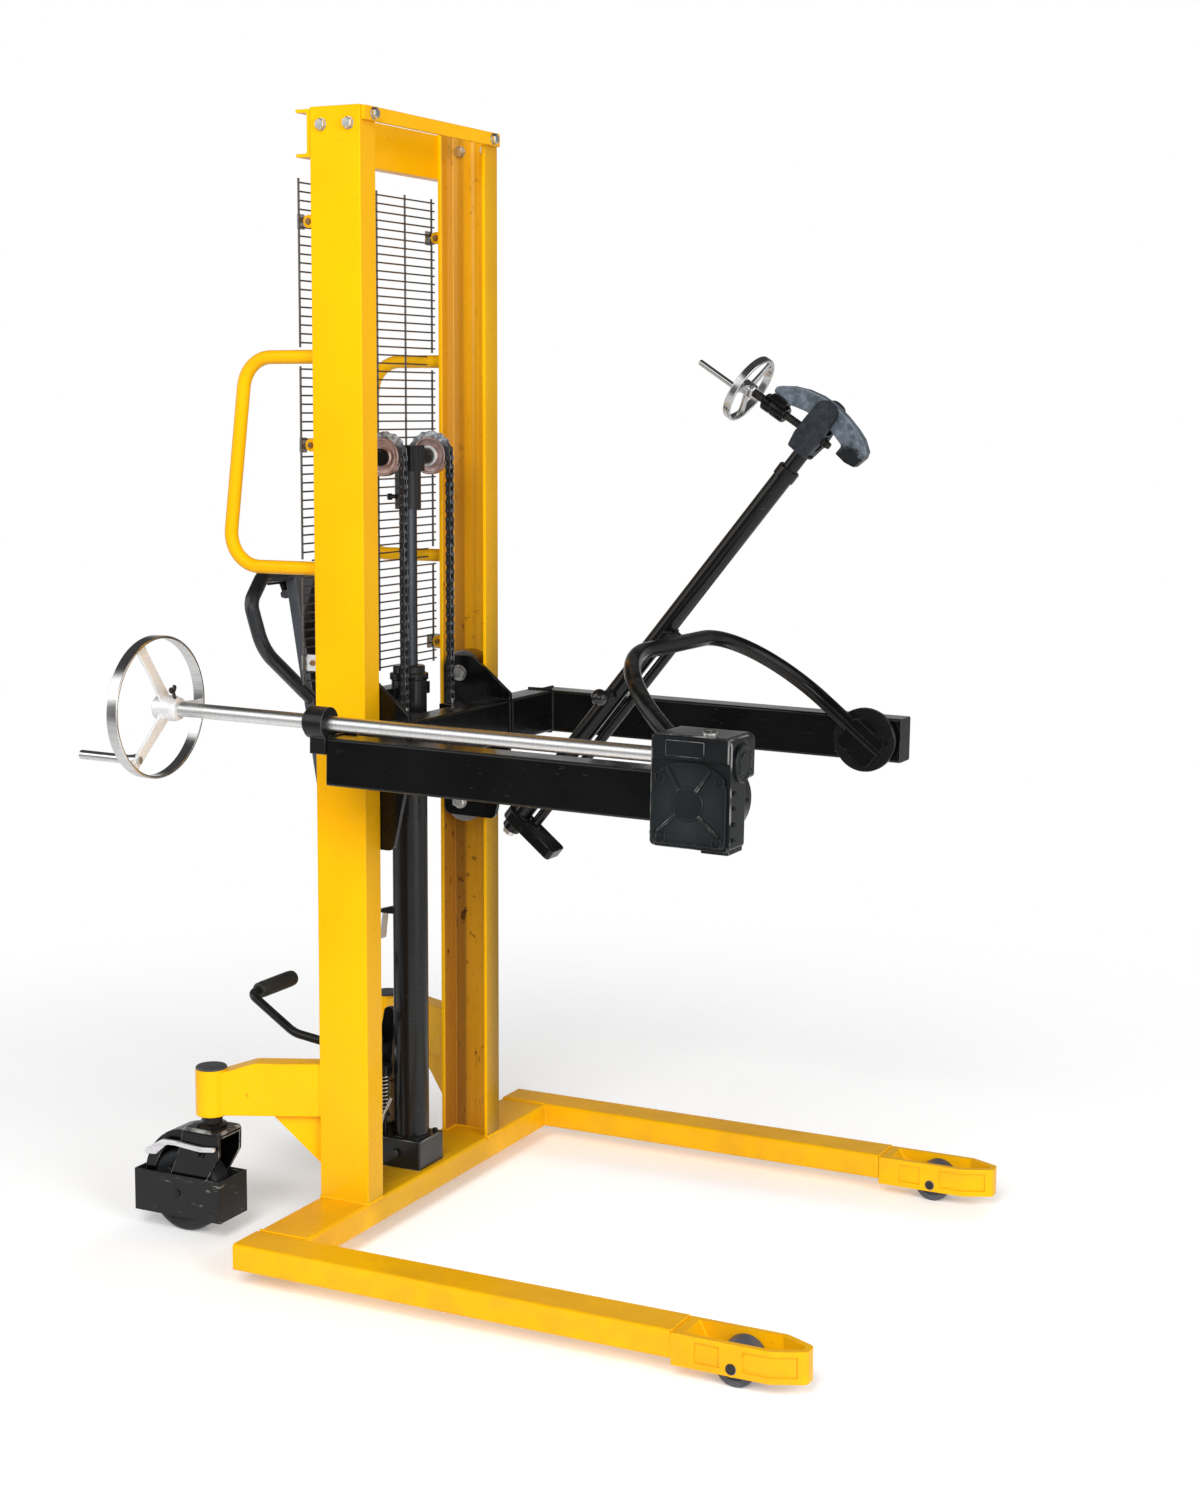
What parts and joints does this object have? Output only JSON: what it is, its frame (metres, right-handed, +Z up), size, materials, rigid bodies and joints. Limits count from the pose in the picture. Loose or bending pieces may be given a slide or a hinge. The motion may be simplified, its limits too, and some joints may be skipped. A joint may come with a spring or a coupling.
{
  "type": "drum tipper",
  "caption": "Manual straddle-leg drum lifter and tilter with a hydraulic chain mast, a clamping cradle turned by a worm gearbox and handwheel, and swivel casters.",
  "frame": {"origin": "centre of the bounding box at floor level", "axes": "+Z up, +X forward along the straddle legs, +Y away from the crank side"},
  "size_m": [1.3574, 1.0145, 1.968],
  "materials": {
    "yellow_paint": "gloss enamel",
    "black_paint": "gloss enamel",
    "forged_steel": "rough forged",
    "bright_steel": "bright plated",
    "zinc_bolts": "zinc plated",
    "bare_steel": "turned, oiled",
    "chain_steel": "oiled dark",
    "bronze": "cut bronze",
    "roller_nylon": "moulded",
    "wheel_rubber": "moulded",
    "knob_plastic": "moulded"
  },
  "bodies": {
    "chassis": {"cross_beam": "yellow_paint", "legs": "yellow_paint", "leg_yokes": "yellow_paint", "axle_pins": "zinc_bolts", "mast_channel_near": "yellow_paint", "mast_channel_far": "yellow_paint", "mast_ties": "yellow_paint", "frame_bolts": "zinc_bolts", "outriggers": "yellow_paint", "push_handles": "yellow_paint", "mesh_guard": "black_paint", "pump_unit": "black_paint", "cylinder_tube": "black_paint", "cylinder_gland": "black_paint", "chain_rear": "chain_steel"},
    "roller_near": {"front_roller_near": "roller_nylon"},
    "roller_far": {"front_roller_far": "roller_nylon"},
    "crosshead_body": {"piston_rod": "bright_steel", "crosshead": "black_paint", "chain_wraps": "chain_steel"},
    "pulley_near": {"chain_pulley_near": "bare_steel"},
    "pulley_far": {"chain_pulley_far": "bare_steel"},
    "carriage": {"carriage_beam": "black_paint", "carriage_plates": "black_paint", "carriage_bolts": "zinc_bolts", "carriage_arms": "black_paint", "shaft_bearings": "black_paint", "gearbox_housing": "black_paint", "gearbox_cover": "black_paint", "chain_front": "chain_steel"},
    "guide_near_top": {"guide_roller_near_top": "bare_steel"},
    "guide_near_low": {"guide_roller_near_low": "bare_steel"},
    "guide_far_top": {"guide_roller_far_top": "bare_steel"},
    "guide_far_low": {"guide_roller_far_low": "bare_steel"},
    "drive": {"drive_rod": "bright_steel", "worm": "bare_steel", "handwheel": "bright_steel"},
    "crank_grip_body": {"crank_grip": "bright_steel"},
    "cradle": {"worm_wheel": "bronze", "trunnion_hubs": "black_paint", "cradle_hoop": "black_paint", "pole_sleeve": "black_paint"},
    "plunger": {"lock_plunger": "knob_plastic"},
    "pole": {"pole_tube": "black_paint", "pole_head": "forged_steel", "jaw_pin": "zinc_bolts"},
    "jaw": {"clamp_jaw": "forged_steel", "clamp_yoke": "black_paint"},
    "screw": {"clamp_screw": "zinc_bolts"},
    "screw_wheel": {"clamp_handwheel": "bright_steel"},
    "caster_near": {"caster_fork_near": "black_paint"},
    "caster_far": {"caster_fork_far": "black_paint"},
    "caster_wheel_near_body": {"caster_wheel_near": "wheel_rubber"},
    "caster_wheel_far_body": {"caster_wheel_far": "wheel_rubber"},
    "brake_near": {"brake_lever_near": "bright_steel"},
    "brake_far": {"brake_lever_far": "bright_steel"},
    "pedal": {"pedal_arm": "black_paint", "pedal_grip": "wheel_rubber"},
    "tiller_body": {"tiller": "black_paint"},
    "release": {"release_lever": "knob_plastic"}
  },
  "joints": [
    {"name": "roller_near_spin", "type": "hinge", "parent": "chassis", "child": "roller_near", "pos_m": [0.56466, -0.45675, 0.034], "axis": [0, 1, 0], "continuous": true},
    {"name": "roller_far_spin", "type": "hinge", "parent": "chassis", "child": "roller_far", "pos_m": [0.56466, 0.46825, 0.034], "axis": [0, 1, 0], "continuous": true},
    {"name": "lift", "type": "slide", "parent": "chassis", "child": "crosshead_body", "axis": [0, 0, 1], "range_m": [-0.195, 0.41], "deforming": ["chain_rear"]},
    {"name": "pulley_near_turn", "type": "hinge", "parent": "crosshead_body", "child": "pulley_near", "pos_m": [-0.29534, -0.07425, 1.378], "axis": [0, 1, 0], "range_deg": [-604.3, 290]},
    {"name": "pulley_far_turn", "type": "hinge", "parent": "crosshead_body", "child": "pulley_far", "pos_m": [-0.29534, 0.08575, 1.378], "axis": [0, 1, 0], "range_deg": [-604.3, 290]},
    {"name": "carriage_lift", "type": "slide", "parent": "crosshead_body", "child": "carriage", "axis": [0, 0, 1], "range_m": [-0.195, 0.41], "deforming": ["chain_front"]},
    {"name": "guide_near_top_turn", "type": "hinge", "parent": "carriage", "child": "guide_near_top", "pos_m": [-0.29134, -0.20175, 0.97], "axis": [0, 1, 0], "range_deg": [-539.6, 1129]},
    {"name": "guide_near_low_turn", "type": "hinge", "parent": "carriage", "child": "guide_near_low", "pos_m": [-0.29134, -0.20175, 0.727], "axis": [0, 1, 0], "range_deg": [-1129, 539.6]},
    {"name": "guide_far_top_turn", "type": "hinge", "parent": "carriage", "child": "guide_far_top", "pos_m": [-0.29134, 0.21325, 0.97], "axis": [0, 1, 0], "range_deg": [-539.6, 1129]},
    {"name": "guide_far_low_turn", "type": "hinge", "parent": "carriage", "child": "guide_far_low", "pos_m": [-0.29134, 0.21325, 0.727], "axis": [0, 1, 0], "range_deg": [-1129, 539.6]},
    {"name": "tilt", "type": "hinge", "parent": "carriage", "child": "cradle", "pos_m": [0.45866, 0.00575, 0.873], "axis": [0, 1, 0], "range_deg": [-39.2, 110.8]},
    {"name": "crank_turn", "type": "hinge", "parent": "carriage", "child": "drive", "pos_m": [-0.56209, -0.38425, 0.95383], "axis": [0.9998, 0, -0.0175], "range_deg": [-3330, 1182]},
    {"name": "crank_grip_spin", "type": "hinge", "parent": "drive", "child": "crank_grip_body", "pos_m": [-0.62155, -0.44333, 0.87048], "axis": [0.9998, 0, -0.0175], "continuous": true},
    {"name": "plunger_pull", "type": "slide", "parent": "cradle", "child": "plunger", "axis": [0, -1, 0], "range_m": [0, 0.012], "stiffness_N_per_m": 900, "springref_m": -0.008},
    {"name": "pole_slide", "type": "slide", "parent": "cradle", "child": "pole", "axis": [0.632, 0, 0.7749], "range_m": [-0.03, 0.15]},
    {"name": "jaw_swing", "type": "hinge", "parent": "pole", "child": "jaw", "pos_m": [0.50978, 0.00575, 1.45781], "axis": [0, -1, 0], "range_deg": [-3, 14]},
    {"name": "screw_feed", "type": "slide", "parent": "jaw", "child": "screw", "axis": [0.8368, 0, -0.5476], "range_m": [-0.0245, 0.0055]},
    {"name": "screw_turn", "type": "hinge", "parent": "screw", "child": "screw_wheel", "pos_m": [0.36662, 0.00575, 1.49794], "axis": [0.8368, 0, -0.5476], "range_deg": [-2160, 450]},
    {"name": "caster_near_swivel", "type": "hinge", "parent": "chassis", "child": "caster_near", "pos_m": [-0.52934, -0.28925, 0.25], "axis": [0, 0, 1], "continuous": true},
    {"name": "caster_near_roll", "type": "hinge", "parent": "caster_near", "child": "caster_wheel_near_body", "pos_m": [-0.57834, -0.28925, 0.075], "axis": [0, 1, 0], "continuous": true},
    {"name": "brake_near_press", "type": "hinge", "parent": "caster_near", "child": "brake_near", "pos_m": [-0.53334, -0.28925, 0.152], "axis": [0, -1, 0], "range_deg": [0, 8]},
    {"name": "caster_far_swivel", "type": "hinge", "parent": "chassis", "child": "caster_far", "pos_m": [-0.52934, 0.30075, 0.25], "axis": [0, 0, 1], "continuous": true},
    {"name": "caster_far_roll", "type": "hinge", "parent": "caster_far", "child": "caster_wheel_far_body", "pos_m": [-0.57834, 0.30075, 0.075], "axis": [0, 1, 0], "continuous": true},
    {"name": "brake_far_press", "type": "hinge", "parent": "caster_far", "child": "brake_far", "pos_m": [-0.53334, 0.30075, 0.152], "axis": [0, -1, 0], "range_deg": [0, 8]},
    {"name": "pedal_press", "type": "hinge", "parent": "chassis", "child": "pedal", "pos_m": [-0.36634, -0.05425, 0.335], "axis": [0, -1, 0], "range_deg": [0, 25], "stiffness_Nm_per_rad": 9, "springref_deg": -17.19},
    {"name": "tiller_pump", "type": "hinge", "parent": "chassis", "child": "tiller_body", "pos_m": [-0.39134, 0.00575, 0.29], "axis": [0, -1, 0], "range_deg": [0, 55], "stiffness_Nm_per_rad": 45, "springref_deg": -25.78},
    {"name": "release_squeeze", "type": "hinge", "parent": "tiller_body", "child": "release", "pos_m": [-0.54393, 0.00575, 1.12238], "axis": [0, 1, 0], "range_deg": [0, 18], "stiffness_Nm_per_rad": 0.8, "springref_deg": -22.92}
  ],
  "couplings": [
    {"joint": "carriage_lift", "follows": "lift", "ratio": 1},
    {"joint": "pulley_near_turn", "follows": "lift", "rad_per_m": -25.51},
    {"joint": "pulley_far_turn", "follows": "lift", "rad_per_m": -25.51},
    {"joint": "crank_turn", "follows": "tilt", "ratio": -30},
    {"joint": "screw_feed", "follows": "screw_turn", "m_per_rad": 0.00063662},
    {"joint": "guide_near_top_turn", "follows": "lift", "rad_per_m": 47.847},
    {"joint": "guide_near_low_turn", "follows": "lift", "rad_per_m": -47.847},
    {"joint": "guide_far_top_turn", "follows": "lift", "rad_per_m": 47.847},
    {"joint": "guide_far_low_turn", "follows": "lift", "rad_per_m": -47.847}
  ]
}
